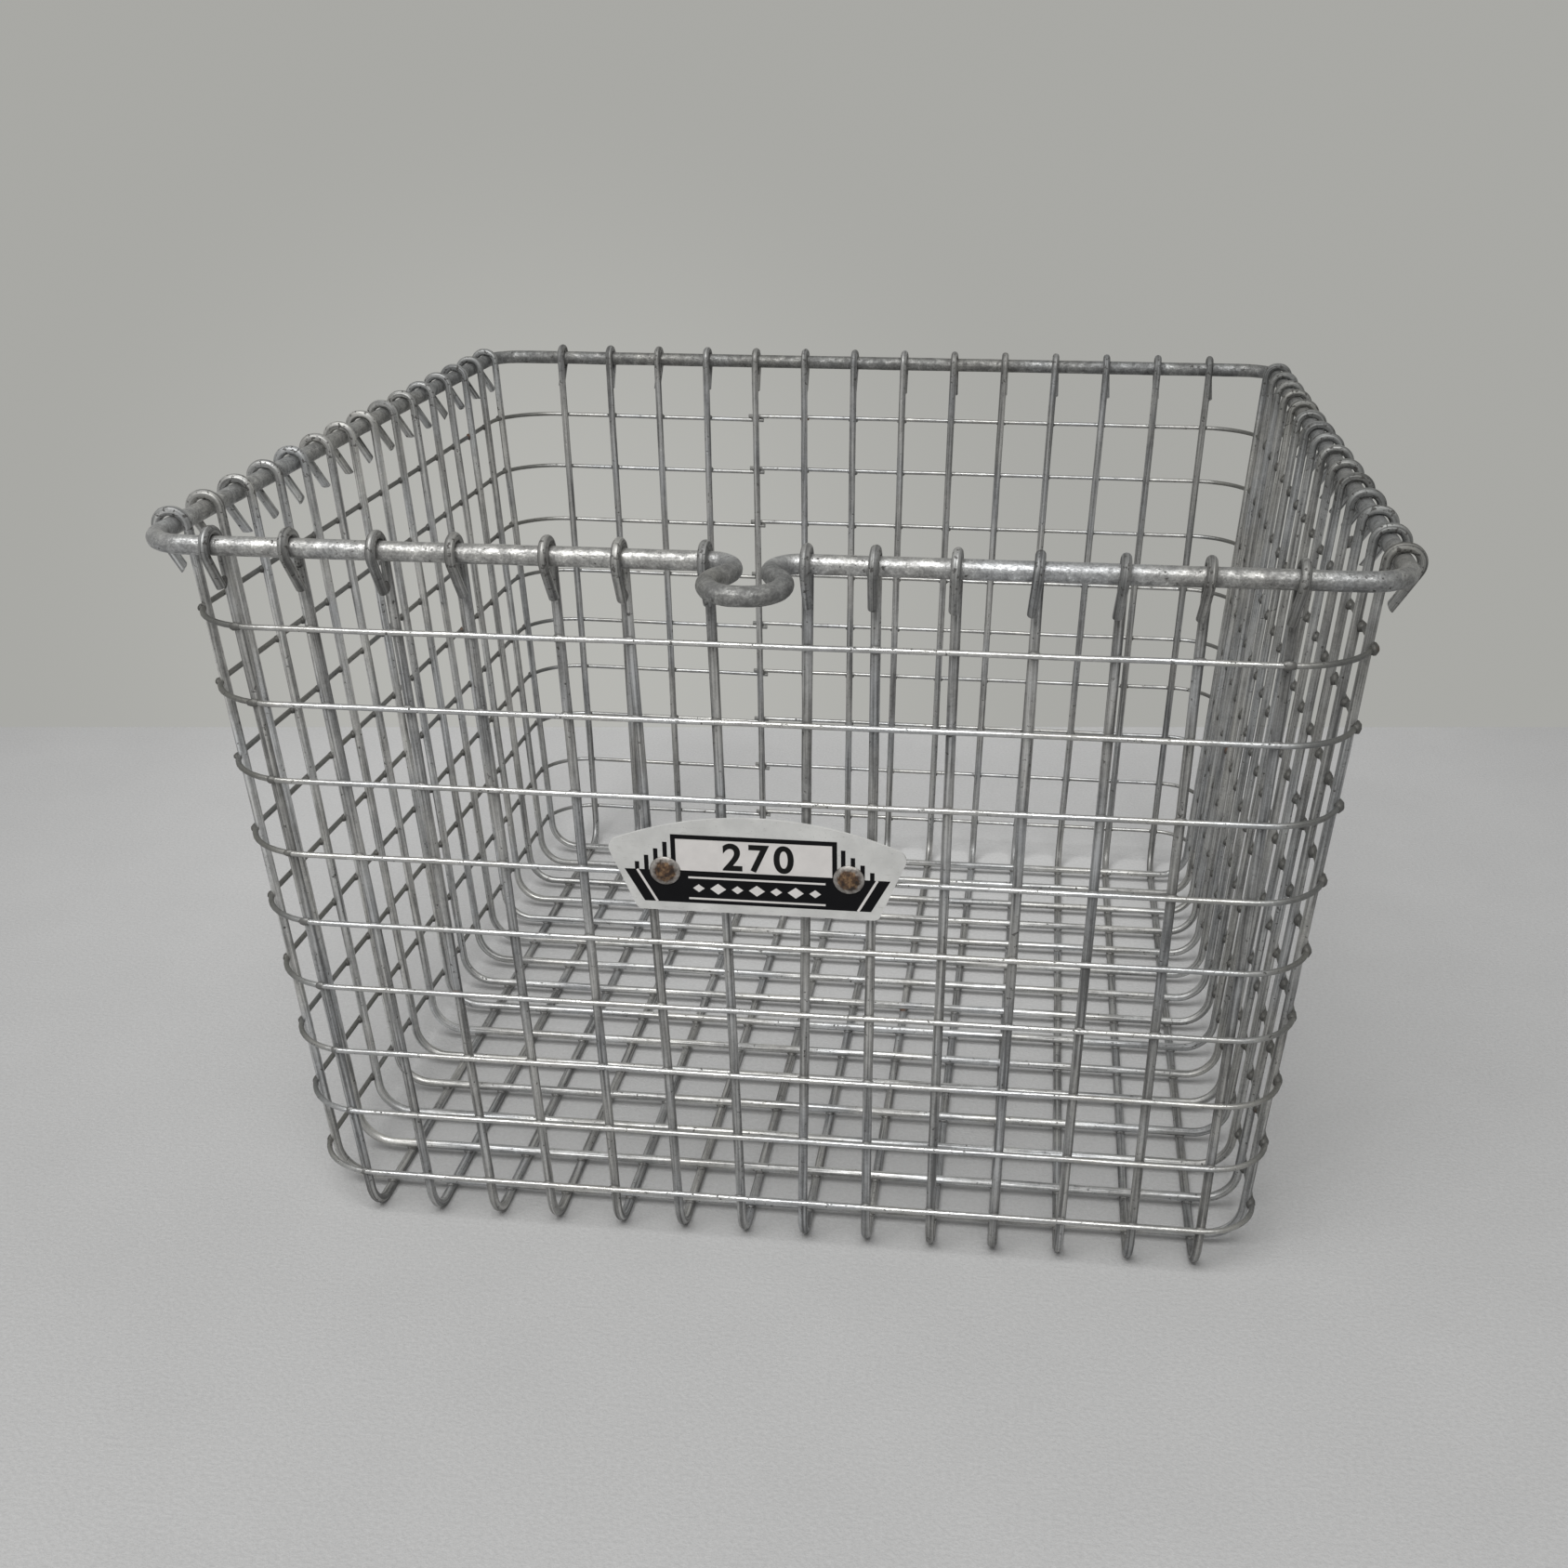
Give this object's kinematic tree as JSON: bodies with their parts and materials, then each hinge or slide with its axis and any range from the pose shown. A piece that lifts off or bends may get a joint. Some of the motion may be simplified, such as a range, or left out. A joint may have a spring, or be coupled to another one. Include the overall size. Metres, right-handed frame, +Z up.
{
  "type": "wire locker basket",
  "caption": "Open wire basket with sloping walls, a heavy rim rod with a lock loop at the front, hooked wall wires, thin hoops round the walls and a riveted number plate.",
  "frame": {"origin": "on the ground, under the middle of the basket's floor and rim", "axes": "+X to the right and +Y to the back, seen from the front, which has the lock loop and the plate; +Z up"},
  "size_m": [0.3352, 0.3574, 0.2196],
  "materials": {
    "zinc_rod": "dull hot-dip zinc with a mottled grey skin",
    "zinc_wire": "dull hot-dip zinc, darkened by use",
    "zinc_hoop": "bright hot-dip zinc",
    "plate": "satin sheet with a printed number panel",
    "rivet": "tinned heads, rusty in the middle",
    "burr": "dull plated steel"
  },
  "bodies": {
    "root": {"rim_rod": "zinc_rod", "lengthwise_wire_01": "zinc_wire", "lengthwise_wire_02": "zinc_wire", "lengthwise_wire_03": "zinc_wire", "lengthwise_wire_04": "zinc_wire", "lengthwise_wire_05": "zinc_wire", "lengthwise_wire_06": "zinc_wire", "lengthwise_wire_07": "zinc_wire", "lengthwise_wire_08": "zinc_wire", "lengthwise_wire_09": "zinc_wire", "lengthwise_wire_10": "zinc_wire", "lengthwise_wire_11": "zinc_wire", "lengthwise_wire_12": "zinc_wire", "lengthwise_wire_13": "zinc_wire", "lengthwise_wire_14": "zinc_wire", "crosswise_wire_01": "zinc_wire", "crosswise_wire_02": "zinc_wire", "crosswise_wire_03": "zinc_wire", "crosswise_wire_04": "zinc_wire", "crosswise_wire_05": "zinc_wire", "crosswise_wire_06": "zinc_wire", "crosswise_wire_07": "zinc_wire", "crosswise_wire_08": "zinc_wire", "crosswise_wire_09": "zinc_wire", "crosswise_wire_10": "zinc_wire", "crosswise_wire_11": "zinc_wire", "crosswise_wire_12": "zinc_wire", "crosswise_wire_13": "zinc_wire", "crosswise_wire_14": "zinc_wire", "crosswise_wire_15": "zinc_wire", "hoop_01": "zinc_hoop", "hoop_02": "zinc_hoop", "hoop_03": "zinc_hoop", "hoop_04": "zinc_hoop", "hoop_05": "zinc_hoop", "hoop_06": "zinc_hoop", "hoop_07": "zinc_hoop", "hoop_08": "zinc_hoop", "hoop_09": "zinc_hoop", "number_plate": "plate", "plate_rivets": "rivet", "rivet_burrs": "burr"}
  },
  "joints": []
}
